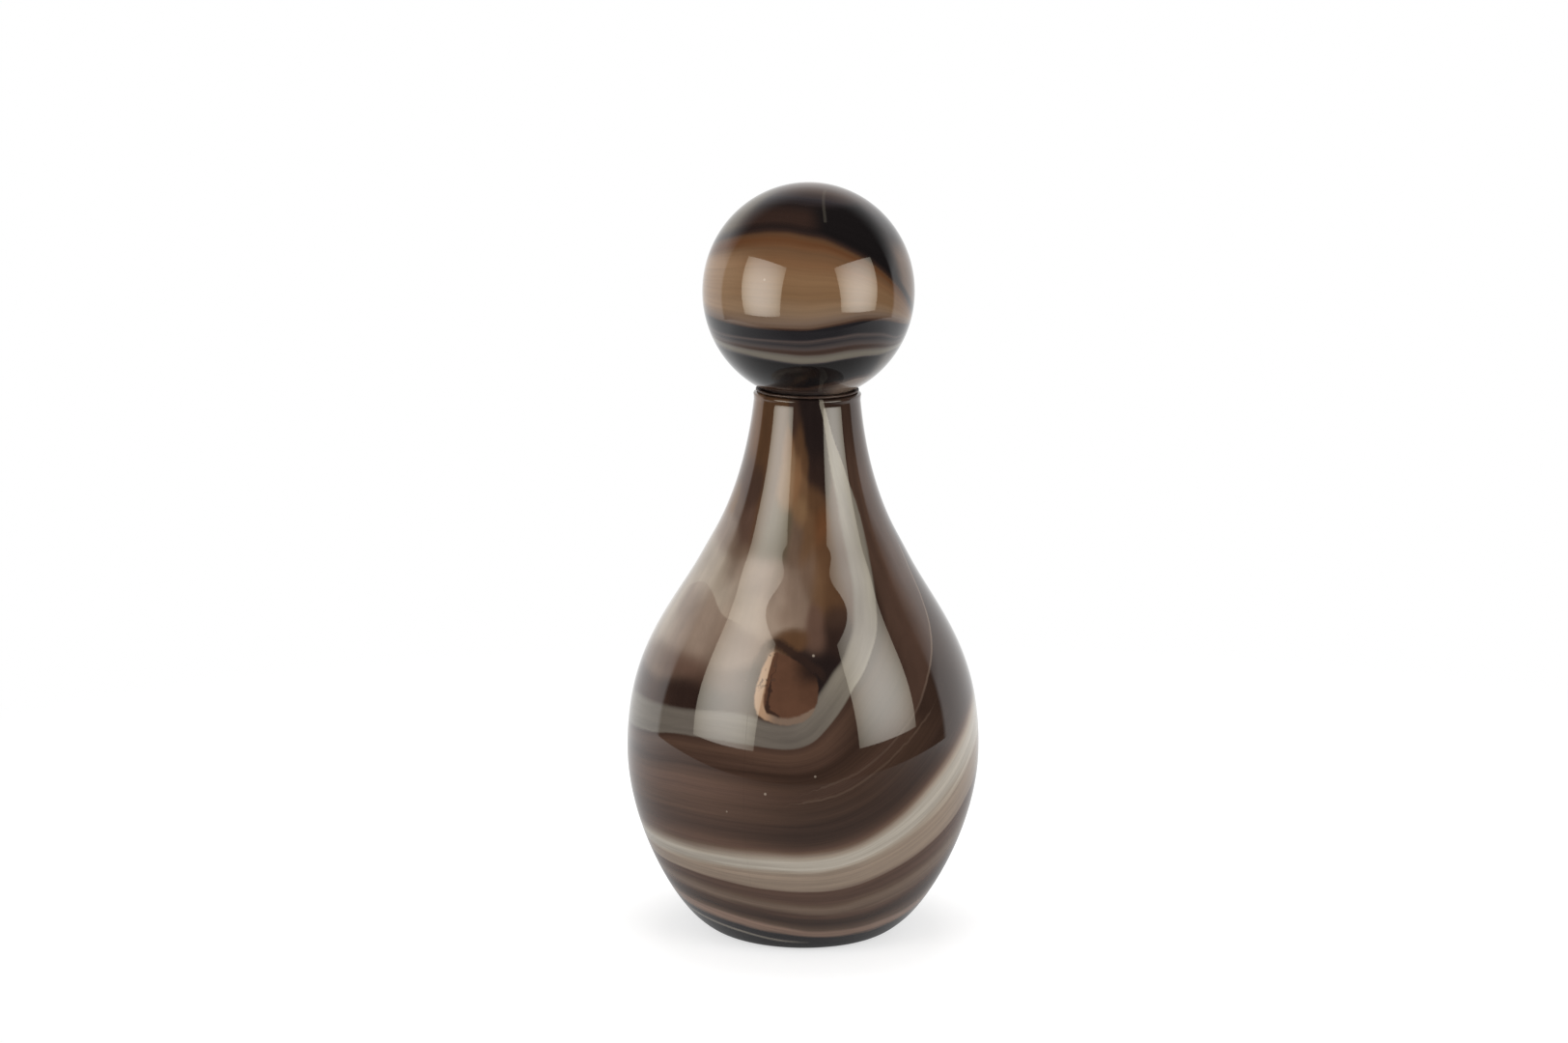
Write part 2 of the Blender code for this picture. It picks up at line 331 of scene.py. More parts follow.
def smooth_path(points):
    """A Catmull-Rom path through points of any number of values each."""
    points = np.array(points, float)
    padded = np.concatenate([[2 * points[0] - points[1]], points, [2 * points[-1] - points[-2]]])
    t = np.linspace(0, 1, PATH_STEPS, endpoint=False)[:, None]
    spans = []
    for a, b, c, d in zip(padded, padded[1:], padded[2:], padded[3:]):
        square = (2 * a - 5 * b + 4 * c - d) * t**2
        cube = (3 * b - a - 3 * c + d) * t**3
        spans.append((2 * b + (c - a) * t + square + cube) / 2)
    return np.concatenate(spans + [points[-1:]])


def side_length(height):
    """Distance up the bottle's side to a height, both in millimetres."""
    return np.interp(height, SIDE_UPWARDS[:, 1] / MM, SIDE_LENGTHS / MM)


def side_radius(height):
    """Radius of the bottle's side at a height, both in millimetres."""
    return np.interp(height, SIDE_UPWARDS[:, 1] / MM, SIDE_UPWARDS[:, 0] / MM)


def beside(path, azimuth, height):
    """Millimetres from a path, positive on its left as it is walked, and which path point is nearest."""
    east = np.radians(path[:, 0])
    north = side_length(path[:, 1])
    along_east = np.gradient(east) * side_radius(path[:, 1])
    along_north = np.gradient(north)
    distance = np.empty(len(azimuth))
    nearest = np.empty(len(azimuth), int)
    chunk = 4000
    for start in range(0, len(azimuth), chunk):
        part = slice(start, start + chunk)
        run = (np.radians(azimuth[part])[:, None] - east) * side_radius(height[part])[:, None]
        rise = side_length(height[part])[:, None] - north
        square = run**2 + rise**2
        best = square.argmin(1)
        row = np.arange(len(best))
        cross = along_east[best] * rise[row, best] - along_north[best] * run[row, best]
        distance[part] = np.sqrt(square[row, best]) * np.where(cross < 0, -1, 1)
        nearest[part] = best
    return distance, nearest


# Heights of the marbling's guide lines over the azimuth. They wind round like a screw: what leaves on the
# right comes back on the left one band up, and both ends overlap at the back.
HAIRLINE = {
    -270: 3, -180: 7, -90: 13.5, -60: 11.8, -45: 10.2, -30: 8.4, -20: 6.8, -10: 5.5, 0: 5, 40: 4, 90: 7,
    180: 18, 270: 28,
}
PINK_LINE = {
    -270: 8, -180: 14, -90: 21, -60: 19.3, -45: 18, -30: 15.8, -15: 13.2, 0: 11, 10: 10.3, 20: 10.2, 30: 10.6,
    40: 12, 50: 13.6, 60: 16.4, 90: 26, 180: 34, 270: 41,
}
CREAM_LOW = {
    -270: 22.5, -180: 29, -90: 35, -60: 34.6, -45: 34.5, -30: 33.3, -15: 31.7, 0: 31, 10: 31.2, 20: 33,
    30: 36.8, 40: 41, 50: 46.5, 60: 52.8, 70: 61, 90: 74, 180: 86, 270: 92.5,
}
PALE_LOW = {
    -270: 24, -180: 33, -90: 40, -30: 39.8, 0: 39.6, 10: 40.5, 20: 43, 30: 47.6, 40: 53.4, 50: 60.6, 60: 69,
    70: 77, 90: 88, 180: 93, 270: 95,
}
PALE_HIGH = {
    -270: 26, -180: 36, -90: 45, -60: 45.8, -15: 45.8, 0: 46, 10: 47.4, 20: 51.5, 30: 58, 40: 66.5, 50: 75,
    60: 83.2, 70: 91, 90: 105, 180: 104, 270: 100,
}
CREAM_HIGH = {
    -270: 28, -180: 39, -90: 49, -60: 50, -15: 49.8, 0: 49.6, 10: 51.4, 20: 55.4, 30: 61.8, 40: 70.8,
    50: 79.4, 60: 87.6, 70: 95.6, 90: 109, 180: 108, 270: 103.5,
}

# The grey band: azimuth, height, half width and paleness, from the back left across the front, up the neck
GREY_BAND = [
    (-270, 89, 18, 0.3), (-180, 95, 9.5, 0.3), (-90, 92, 6.4, 0.9), (-75, 92.8, 6.3, 0.8),
    (-60, 94.1, 5.7, 0.3), (-45, 96.1, 4.7, 0.1), (-30, 97.3, 5.4, 0), (-20, 97.2, 5.5, 0.2),
    (-12, 95.8, 4.7, 0.1), (-5, 95.5, 4.6, 0), (0, 97.6, 4.9, 0.15), (4, 102, 5, 0.2), (9, 108.7, 5, 0.4),
    (14, 116, 4.8, 0.7), (18, 120.6, 4.6, 0.5), (22, 126.6, 4.6, 0.4), (26, 133, 4.7, 0.2),
    (28.8, 140, 4.8, 0.15), (31.5, 148, 4.7, 0.2), (32.9, 156, 4.8, 0.3), (33.8, 164, 4.9, 0.35),
    (33.9, 172, 4.8, 0.4), (33.2, 179, 4.1, 0.5), (30.7, 186, 3.3, 0.8), (28.3, 192, 2.8, 1),
    (25, 199, 1.9, 0.9), (22, 205, 1.3, 1), (19, 211, 1.0, 1), (14.7, 217, 0.9, 1),
]
LINES = {}
# Outline of the amber eye in the grey band's bend, walked with its inside on the left
LINES["eye"] = [
    (-13, 101.5), (-8, 100), (-3, 100.4), (1, 102.4), (3.5, 106), (4.6, 110.5), (4.4, 116.5), (2, 119.6),
    (-2, 122.5), (-7, 124.8), (-12.4, 126), (-15, 122), (-16.6, 116), (-17.2, 109), (-16, 104), (-13, 101.5),
]
# Shadow line round the eye's left and over its top
LINES["eye_shadow"] = [
    (-19.2, 107), (-19.2, 114), (-18, 121), (-15.4, 127), (-12.2, 129), (-8, 127.6), (-3, 125), (1, 122.3),
    (5, 119.5), (8, 117),
]
# Crack of dark glass in the eye
LINES["eye_crack"] = [(-9.5, 102.6), (-12.2, 104.4), (-12.6, 107), (-12.4, 110), (-12, 113)]
# Edge of the pale glass that hangs like a tongue on the left, walked with the pale glass on the right
TONGUE = [
    (-24, 132), (-30, 134.5), (-38, 136), (-44, 139), (-50, 142.5), (-58, 145), (-65, 145), (-72, 143),
    (-80, 139.5), (-95, 134),
]
# Thin pale threads in the dark glass, walked upwards to the right
LINES["long_thread"] = [
    (6, 76), (18, 82), (28, 90), (36, 97.5), (42, 104), (45, 108), (50, 114), (55, 119.5), (60, 125.5),
    (65, 132), (68, 137), (71, 142), (74, 150), (77, 158),
]
LINES["short_thread"] = [(0, 70), (12, 73.5), (22, 80), (34, 90), (46, 100)]

# Colours as they look in even light, in eight bits a channel
INK = (20, 17, 17)
COAL = (32, 30, 32)
SOOT = (32, 24, 22)
PITCH = (44, 31, 26)
BLUE_BLACK = (44, 40, 42)
BARK = (58, 42, 34)
UMBER = (68, 50, 41)
BROWN = (78, 58, 47)
CHESTNUT = (87, 65, 54)
SLATE = (64, 57, 55)
MAUVE = (78, 67, 64)
NUT = (80, 56, 38)
MAHOGANY = (82, 56, 42)
RUST = (90, 58, 36)
TAWNY = (96, 70, 49)
DRAB = (86, 76, 60)
HAZEL = (98, 78, 64)
COPPER = (112, 81, 56)
AMBER = (118, 90, 64)
BUFF = (126, 102, 79)
HONEY = (150, 122, 95)
ORANGE = (160, 129, 103)
FAWN = (114, 95, 81)
TAN = (130, 112, 98)
SAND = (145, 128, 112)
CREAM = (158, 144, 128)
PALE = (175, 166, 153)
GREY = (97, 89, 81)
SILVER = (117, 110, 98)
ROSE = (148, 121, 105)
SEED = (176, 162, 146)

# Colour up the front of the bottle, in millimetres above the foot; elsewhere the guides carry it
LOWER_COLOURS = {
    0: BLUE_BLACK, 7.8: BLUE_BLACK, 9.3: ROSE, 11.2: ROSE, 12.4: HAZEL, 14.2: BROWN, 15.6: BARK, 17.4: UMBER,
    19.2: CHESTNUT, 21.2: FAWN, 23.4: FAWN, 24.6: HAZEL, 26.4: CHESTNUT, 31: CHESTNUT,
}
UPPER_COLOURS = {
    31: TAN, 33: SAND, 38.4: SAND, 39.6: CREAM, 41.4: PALE, 44.4: PALE, 45.9: CREAM, 47.1: TAN, 48.5: HAZEL,
    49.6: CHESTNUT, 52: BROWN, 54: UMBER, 60: UMBER, 62: BROWN, 68: BROWN, 72: CHESTNUT, 76: BROWN,
    79.4: UMBER, 80.6: BARK, 83.6: UMBER, 87: BROWN, 88.6: BROWN, 89.8: UMBER, 92: BARK,
}

# Patches of colour inside the grey band's bend and on its right: colour, azimuth, height, reach in each
PATCHES = [
    (TAN, -84, 214, 8, 6), (COPPER, -65, 206, 9, 12), (NUT, -47, 207, 9, 13), (HAZEL, -77, 191, 10, 6),
    (CHESTNUT, -61, 187, 6, 7), (UMBER, -50, 181, 8, 8), (AMBER, -76, 176, 9, 5), (HAZEL, -60, 175, 5, 4),
    (TAN, -72, 166, 12, 4), (TAN, -59, 162, 6, 3), (FAWN, -51, 162, 4, 3), (CHESTNUT, -45, 171, 6, 4),
    (CHESTNUT, -44, 165, 6, 4), (HAZEL, -44, 159, 6, 4), (FAWN, -43, 153, 7, 4), (TAN, -66, 134, 7, 4),
    (NUT, -34, 172, 6, 9), (DRAB, -25, 167, 7, 8), (NUT, -31, 198, 7, 12), (COPPER, -19, 199, 4, 5),
    (AMBER, -17, 188, 6, 8), (CREAM, -75, 150, 24, 9), (CREAM, -52, 148, 16, 7), (TAN, -27, 150, 12, 6),
    (SAND, -30, 140, 16, 6), (CREAM, -86, 128, 18, 9), (TAN, -52, 128, 15, 8), (FAWN, -33, 125, 9, 7),
    (FAWN, -70, 115, 14, 5), (CHESTNUT, -52, 116, 14, 4), (BROWN, -30, 113, 10, 4), (UMBER, -80, 105, 18, 4),
    (PITCH, -40, 108, 14, 5), (BARK, -22, 108, 6, 8), (SOOT, -1, 213, 8, 7), (BARK, -12, 210, 4, 6),
    (NUT, -8, 203, 3.6, 6), (SOOT, 8.5, 202, 6, 12), (BUFF, -14, 187, 3, 8), (COPPER, -8, 187, 4, 7),
    (NUT, -2, 193, 3, 4), (TAWNY, -3, 184, 3, 4), (AMBER, -4, 176, 4, 5), (PITCH, 9, 191, 6, 6),
    (NUT, 6, 179, 5, 5), (RUST, 9, 170, 4, 6), (TAWNY, 3, 170, 4, 6), (DRAB, -14, 167, 4, 7),
    (HAZEL, -7, 164, 5, 7), (TAWNY, 0, 162, 4, 5), (NUT, 11, 158, 4, 8), (TAN, -15, 145, 5, 8),
    (FAWN, -7, 147, 4, 6), (FAWN, -9, 139, 4, 3), (FAWN, -2, 142, 3, 5), (HAZEL, 2, 153, 4, 7),
    (TAWNY, 7, 150, 4, 7), (NUT, 12, 146, 4, 6), (CHESTNUT, 4, 138, 3, 4), (BARK, 13, 138, 3.5, 4),
    (PITCH, 12.5, 130, 4.5, 5), (CHESTNUT, 5, 130, 3, 4), (NUT, -5, 130.5, 5, 2.5), (SOOT, 7, 121, 6, 6),
    (BROWN, 60, 165, 20, 30), (UMBER, 46, 112, 8, 14), (UMBER, 46, 140, 5, 16), (BARK, 45.5, 168, 3.2, 20),
    (BARK, 48, 208, 16, 10),
]
# The same for the back, which the photograph doesn't show
PATCHES += [
    (BROWN, 98, 196, 15, 20), (UMBER, 112, 158, 20, 16), (TAWNY, 130, 205, 14, 22),
    (CHESTNUT, 140, 172, 16, 13), (BARK, 160, 198, 12, 20), (HAZEL, 158, 150, 18, 9),
    (COPPER, -172, 206, 12, 18), (NUT, 178, 174, 13, 12), (FAWN, -168, 152, 16, 8),
    (UMBER, -150, 192, 12, 20), (AMBER, -130, 198, 12, 17), (CHESTNUT, -143, 166, 14, 9),
    (HAZEL, -122, 170, 14, 8), (TAN, -132, 147, 16, 8), (NUT, -104, 208, 9, 16), (HAZEL, -106, 180, 10, 8),
    (BROWN, 128, 128, 22, 9), (UMBER, 158, 128, 18, 7), (FAWN, -172, 134, 18, 6), (SAND, -140, 131, 20, 6),
    (BARK, 150, 113, 24, 6), (CHESTNUT, -166, 117, 22, 6), (TAN, -132, 117, 18, 5), (UMBER, -120, 105, 22, 4),
]

# Latitudes on the ball of its guide lines over the azimuth, all round
BALL_BROWN = {
    -180: -58, -20: -58, 0: -57, 12: -53, 25: -51, 40: -46.5, 55: -46.5, 90: -53, 180: -58,
}
BALL_BEIGE = {
    -180: -20, -120: -22, -75: -25, -60: -26.5, -40: -28, -20: -29.7, -5: -30.8, 10: -30, 22: -28, 35: -27.3,
    50: -28.5, 60: -28, 120: -24, 180: -20,
}
BALL_LINE = {
    -180: -14, -90: -17.5, -60: -19, 0: -19, 15: -17, 27: -15.5, 45: -17, 60: -21, 90: -19, 180: -14,
}
BALL_AMBER = {
    -180: -8, -120: -8, -75: -9, -30: -11, 0: -10.6, 15: -7.9, 30: -5.6, 45: -6.8, 60: -10.2, 72: -13,
    90: -14, 130: -12, 180: -8,
}
BALL_CAP = {
    -180: 6, -120: 16, -90: 25, -75: 29, -60: 32.8, -45: 37, -30: 39.6, -15: 39.8, 0: 37.4, 10: 36, 20: 31.6,
    30: 26.4, 40: 20.8, 50: 12.6, 60: 4.2, 70: -4.8, 78: -9.5, 90: -11, 130: -6, 180: 6,
}
BALL_THREAD = [(12, 47), (13, 54), (14.5, 60), (18, 66), (24, 71), (34, 75)]
# Colour up the front of the ball, in degrees of latitude
BALL_LOWER_COLOURS = {
    # Slate grey from -90 to -62: painted shade on the ball's underside, over the mouth
    -90: SLATE, -62: SLATE, -54: BARK, -51.5: INK, -33.8: INK, -32.6: BLUE_BLACK, -31.6: GREY, -30.7: SILVER,
    -29.2: SILVER, -27.4: GREY, -26.3: UMBER, -25.4: BARK, -24.6: UMBER, -23.4: MAUVE, -21.8: SLATE,
    -20.4: BLUE_BLACK, -19.4: SLATE, -18.7: MAUVE, -17.6: COAL, -12.2: COAL,
}
BALL_UPPER_COLOURS = {
    -12.2: UMBER, -11: HAZEL, -9.2: FAWN, -2: BUFF, 5: AMBER, 14: AMBER, 21: COPPER, 28: TAWNY, 33: RUST,
    36: NUT, 38.2: PITCH, 40.4: SOOT, 45: PITCH, 51: PITCH, 57: SOOT, 65: BLUE_BLACK, 74: BARK, 84: UMBER,
    90: CHESTNUT,
}
# Streaks of the two ramps meet at these places on the front
CREAM_EDGE, CREAM_FRONT, BAND_FRONT = 31, 49.6, 92
BALL_AMBER_EDGE = -12.2
# How far the tongue's crisp edge parts the patches, in millimetres, and between which azimuths
TONGUE_PUSH, TONGUE_REACH = 6, 8
PUSH_START, PUSH_END = (-26, -42), (-150, -110)
# Azimuths over which the count from the right end gives way to the left one, in front and behind
FRONT_BLEND, BACK_BLEND = (80, -80), (125, 235)
# Degrees over which a guide line's corners are rounded, and steps between the points of a path
GUIDE_BLUR, PATH_STEPS = 7, 14
# How fast a patch's weight falls off
PATCH_FALLOFF = 1.3
# Radius on which the grey band's path is measured and spacing of its points, in millimetres
BAND_RADIUS, BAND_SPACING = 50, 1.0
# Single pale seeds in the bottle's glass: azimuth and height
SEEDS = [(3.3, 125), (-12, 73)]
SEED_EDGE = (0.3 * MM, 0.7 * MM)
# Tiny seeds all over: cells to a metre, and a seed's soft edge in cells
BUBBLE_CELLS = 30.0
BUBBLE_EDGE = (0.01, 0.018)

GLASS_IOR = 1.5
GLASS_ROUGHNESS = (0.022, 0.036)
WAVE_HEIGHT = 0.6 * MM
PLUG_COLOURS = {0.3: (44, 31, 25), 0.5: (70, 50, 38), 0.7: (112, 88, 68)}
PLUG_CLEARNESS = 0.35
SLEEVE_IOR = 1.43
SLEEVE_ROUGHNESS = (0.38, 0.5)
SLEEVE_CLEARNESS = 0.3
RING_SPACING, RING_HEIGHT = 1.6 * MM, 0.1 * MM


def linear(colour):
    """Eight-bit colour to the shader's own values."""
    value = np.array(colour, float) / 255
    return np.where(value <= 0.04045, value / 12.92, ((value + 0.055) / 1.055) ** 2.4)


def patched(azimuth, height):
    """Red, green and blue of the patches at each place, as their mean weighted by nearness."""
    total = np.zeros((len(azimuth), 3))
    weight = np.zeros(len(azimuth))
    faint = 1e-12
    for colour, at_azimuth, at_height, wide, high in PATCHES:
        aside = (azimuth - at_azimuth + 180) % 360 - 180
        away = (aside / wide) ** 2 + ((height - at_height) / high) ** 2
        share = np.exp(-PATCH_FALLOFF * away) + faint
        total += share[:, None] * linear(colour)
        weight += share
    return (total / weight[:, None]).T


def carried_to_front(value, azimuth, lowest, guides):
    """The value that the same streak has at the middle of the front."""
    least = 0.1
    below = np.full(len(value), float(lowest))
    front_below = lowest
    place = below.copy()
    for guide in guides:
        above = smooth_curve(guide, azimuth)
        front_above = np.interp(0, *zip(*guide.items()))
        share = np.clip((value - below) / np.maximum(above - below, least), 0, 1)
        place += (front_above - front_below) * share
        below, front_below = above, front_above
    return place


def band_points():
    """The grey band's path with evenly spaced points, and how far along it each one is."""
    path = smooth_path(GREY_BAND)
    steps = np.hypot(np.diff(np.radians(path[:, 0])) * BAND_RADIUS, np.diff(path[:, 1]))
    length = np.concatenate([[0], np.cumsum(steps)])
    along = np.arange(0, length[-1], BAND_SPACING)
    return np.stack([np.interp(along, length, values) for values in path.T], 1), along


def draw_from_end(piece, end, from_azimuth, azimuth, height):
    """Stores where each vertex lies in the marbling, counted from one end of the guide lines."""
    turn = (azimuth - from_azimuth) % 360 + from_azimuth
    guides = (HAIRLINE, PINK_LINE, CREAM_LOW, PALE_LOW, PALE_HIGH, CREAM_HIGH)
    front = carried_to_front(height, turn, 0, guides)
    path, along = band_points()
    distance, nearest = beside(path, turn, height)
    half_width = path[nearest, 2]
    cream_top = smooth_curve(CREAM_HIGH, turn)
    over_cream = np.maximum(side_length(height) - side_length(cream_top), 0)
    short_of_band = np.maximum(-distance - half_width, 0)
    least = 0.5
    front += (BAND_FRONT - CREAM_FRONT) * over_cream / (over_cream + short_of_band + least)
    store(piece, "place_" + end, turn, front, distance / half_width)
    store(piece, "band_" + end, along[nearest], path[nearest, 3], distance)


def draw_bottle_marbling(piece):
    """Stores where each vertex lies in the marbling, counted from both ends, which meet round the back."""
    azimuth, height, _ = places(piece)
    height = height / MM
    tongue = beside(smooth_path(TONGUE), azimuth, height)[0]
    push = TONGUE_PUSH * np.exp(-abs(tongue) / TONGUE_REACH)
    push *= ease(*PUSH_START, azimuth) * ease(*PUSH_END, azimuth)
    store(piece, "tongue", tongue)
    store(piece, "patch_above", *patched(azimuth, height + push))
    store(piece, "patch_below", *patched(azimuth, height - push))
    draw_from_end(piece, "right", -90, azimuth, height)
    draw_from_end(piece, "left", -270, azimuth, height)
    left_share = np.where(abs(azimuth) < 90, ease(*FRONT_BLEND, azimuth), ease(*BACK_BLEND, azimuth % 360))
    store(piece, "left_share", left_share)
    for name, points in LINES.items():
        store(piece, name, beside(smooth_path(points), azimuth, height)[0])
    store(piece, "hairline", height - smooth_curve(HAIRLINE, azimuth))
    store(piece, "height", height)


def draw_ball_marbling(piece):
    """Stores where each vertex of the ball lies between its guide lines."""
    azimuth, height, radius = places(piece)
    latitude = np.degrees(np.arctan2((height - BALL_CENTRE) / BALL_HALF_HEIGHT, radius / BALL_RADIUS))
    top = {-180: 90, 180: 90}
    guides = (BALL_BROWN, BALL_BEIGE, BALL_LINE, BALL_AMBER, BALL_CAP, top)
    store(piece, "front", carried_to_front(latitude, azimuth, -90, guides))
    store(piece, "over_cap", latitude - smooth_curve(BALL_CAP, azimuth))
    store(piece, "latitude", latitude)
    thread = smooth_path(BALL_THREAD)
    run = (azimuth[:, None] - thread[:, 0]) * np.cos(np.radians(latitude))[:, None]
    rise = latitude[:, None] - thread[:, 1]
    store(piece, "thread", np.hypot(run, rise).min(1))


class Value:
    """What a shader node gives out. Working with it adds more nodes to the same tree."""

    def __init__(self, tree, socket):
        self.tree = tree
        self.socket = socket

    def math(self, operation, *others):
        return self.tree.node("Math", dict(enumerate((self, *others))), operation=operation)

    def __add__(self, other):
        return self.math("ADD", other)

    def __mul__(self, other):
        return self.math("MULTIPLY", other)

    def __abs__(self):
        return self.math("ABSOLUTE")

    def at_least(self, other):
        return self.math("MAXIMUM", other)

    def step(self, low, high, zero=0.0, one=1.0):
        """Smoothly from zero where this is low to one where it is high."""
        inputs = {0: self, 1: low, 2: high, 3: zero, 4: one}
        return self.tree.node("MapRange", inputs, interpolation_type="SMOOTHSTEP")

    def swing(self, reach, spread=0.3, middle=0):
        """Noise, spread round one half, made to reach as far to both sides of the middle."""
        return self.step(0.5 - spread, 0.5 + spread, middle - reach, middle + reach)

    def between(self, first, second):
        """A number between two others, at this share of the way."""
        return self.tree.node("Mix", {0: self, 2: first, 3: second})

    def brighter(self, amount):
        """This colour multiplied by a number."""
        return self.tree.node("VectorMath", {0: self, "Scale": amount}, operation="SCALE")

    def parts(self):
        """The three numbers of this vector."""
        split = self.tree.node("SeparateXYZ", {0: self}).socket.node
        return [Value(self.tree, socket) for socket in split.outputs]

    def length(self):
        return self.tree.node("VectorMath", {0: self}, output=1, operation="LENGTH")


class Tree:
    """Adds nodes to one shader tree."""

    def __init__(self, owner):
        owner.use_nodes = True
        self.data = owner.node_tree

    def node(self, kind, inputs, output=0, **settings):
        made = self.data.nodes.new("ShaderNode" + kind)
        for name, setting in settings.items():
            setattr(made, name, setting)
        self.feed(made, inputs)
        return Value(self, made.outputs[output])

    def feed(self, node, inputs):
        """Links a value to each named input of a node, or sets the input's own."""
        for key, value in inputs.items():
            if isinstance(value, Value):
                self.data.links.new(value.socket, node.inputs[key])
            else:
                node.inputs[key].default_value = value

    def fill(self, node_name, inputs):
        """Feeds a node that the tree has from the start."""
        self.feed(self.data.nodes[node_name], inputs)

    def place(self):
        """Where the point lies in the piece's own metres."""
        return self.node("TexCoord", {}, output=3)

    def azimuth(self):
        """Degrees round the upright axis, positive to the right of the front."""
        x, y, _ = self.place().parts()
        return x.math("ARCTAN2", y * -1) * math.degrees(1)

    def number(self, name):
        return self.node("Attribute", {}, output=2, attribute_name=name)

    def numbers(self, name):
        return self.node("Attribute", {}, output=1, attribute_name=name).parts()

    def line(self, name, core, edge, strength):
        """Where a thin line lies, from the stored distance to it."""
        return abs(self.number(name)).step(core, edge, strength, 0)

    def vector(self, x, y, z=0.0):
        return self.node("CombineXYZ", {0: x, 1: y, 2: z})

    def noise(self, *where, scale=1.0, detail=3.0, roughness=0.55):
        """Noise at a vector, or at the two or three numbers of one."""
        vector = where[0] if len(where) == 1 else self.vector(*where)
        inputs = {"Vector": vector, "Scale": scale, "Detail": detail, "Roughness": roughness}
        return self.node("TexNoise", inputs)

    def ray(self, kind):
        """One for rays of this kind and zero for others."""
        return self.node("LightPath", {}, output=kind)

    def glow(self, strength, colour=(1, 1, 1, 1)):
        return self.node("Emission", {"Color": colour, "Strength": strength})

    def ramp(self, value, stops):
        """A colour for each level of the value. Stops are {level: eight-bit colour}."""
        low, high = min(stops), max(stops)
        share = self.node("MapRange", {0: value, 1: low, 2: high})
        colours = self.node("ValToRGB", {0: share})
        elements = colours.socket.node.color_ramp.elements
        while len(elements) < len(stops):
            elements.new(1)
        for element, (level, colour) in zip(elements, stops.items()):
            element.position = (level - low) / (high - low)
            element.color = (*linear(colour), 1)
        return colours

    def over(self, below, colour, share):
        """Lays a colour over what is below. Both are values or eight-bit colours."""
        low, high = [one if isinstance(one, Value) else (*linear(one), 1) for one in (below, colour)]
        return self.node("Mix", {0: share, 6: low, 7: high}, output=2, data_type="RGBA")

    def layered(self, colour, layers):
        """Lays each colour over what is below it, as its share says."""
        for laid, share in layers:
            colour = self.over(colour, laid, share)
        return colour


def dressed(piece, material_name):
    """The nodes of a new material on the piece."""
    material = bpy.data.materials.new(material_name)
    piece.data.materials.append(material)
    return Tree(material)


def glass_finish(tree, colour):
    """Glossy glass surface over the colour, with the faint waviness of blown glass."""
    where = tree.place()
    wave = tree.noise(where, scale=14, detail=1.5)
    haze = tree.noise(where, scale=55)
    surface = {
        "Base Color": colour,
        "Roughness": haze.step(0.3, 0.8, *GLASS_ROUGHNESS),
        "Normal": tree.node("Bump", {"Strength": 0.25, "Distance": WAVE_HEIGHT, "Height": wave}),
        "IOR": GLASS_IOR,
    }
    tree.fill("Principled BSDF", surface)


def with_bubbles(tree, colour):
    """A few tiny pale seeds, as blown glass has."""
    cell = tree.node("TexVoronoi", {"Vector": tree.place(), "Scale": BUBBLE_CELLS})
    return tree.over(colour, SEED, cell.step(*BUBBLE_EDGE, 0.4, 0))


def with_seed(tree, colour, azimuth, height):
    """One pale seed in the bottle's side."""
    turn = math.radians(azimuth)
    radius = side_radius(height)
    middle = (radius * math.sin(turn) * MM, -radius * math.cos(turn) * MM, height * MM)
    away = tree.node("VectorMath", {0: tree.place(), 1: middle}, output=1, operation="DISTANCE")
    return tree.over(colour, SEED, away.step(*SEED_EDGE, 0.5, 0))


def belly_streaks(tree, turn, front):
    """The streaks that wind round the belly, coloured by the ramps up its front."""
    long_turn = turn * 0.016
    drift = tree.noise(long_turn, front * 0.06, detail=2)
    streaks = tree.noise(long_turn, front * 0.42, detail=5, roughness=0.62)
    hairs = tree.noise(long_turn, front * 1.9, roughness=0.6)
    moved = front + drift.swing(1.0) + streaks.swing(0.5)
    edge = (front + streaks.swing(0.2)).step(CREAM_EDGE - 0.4, CREAM_EDGE + 0.5)
    colour = tree.over(tree.ramp(moved, LOWER_COLOURS), tree.ramp(moved, UPPER_COLOURS), edge)

    # Darker to the right above the cream, and almost the same all along in and under it
    shade = front.step(78, 84).between(turn.step(-38, 6, 1.2, 0.64), turn.step(6, 24, 1.05, 0.55))
    shade = front.step(48.5, 51.5).between(turn.step(35, 50, 1.0, 1.07), shade)
    shade = front.step(13.5, 12).between(shade, turn.step(-30, -60, 1.0, 1.02))
    colour = colour.brighter(shade * streaks.swing(0.24, 0.35, middle=1))
    return colour.brighter(hairs.swing(0.08, 0.25, middle=1))


def side_patches(tree, turn, height):
    """The patches, with a crisp change where the tongue's edge parts them."""
    layers = [tree.numbers("patch_" + side) for side in ("above", "below")]
    above, below = [tree.node("CombineColor", dict(enumerate(layer))) for layer in layers]
    clouds = tree.noise(turn * 0.05, height * 0.05)
    drawn = tree.noise(turn * 0.11, height * 0.014)
    patches = tree.over(above, below, tree.number("tongue").step(-0.5, 0.5))
    return patches.brighter(clouds.swing(0.14, middle=1)).brighter(drawn.swing(0.1, middle=1))


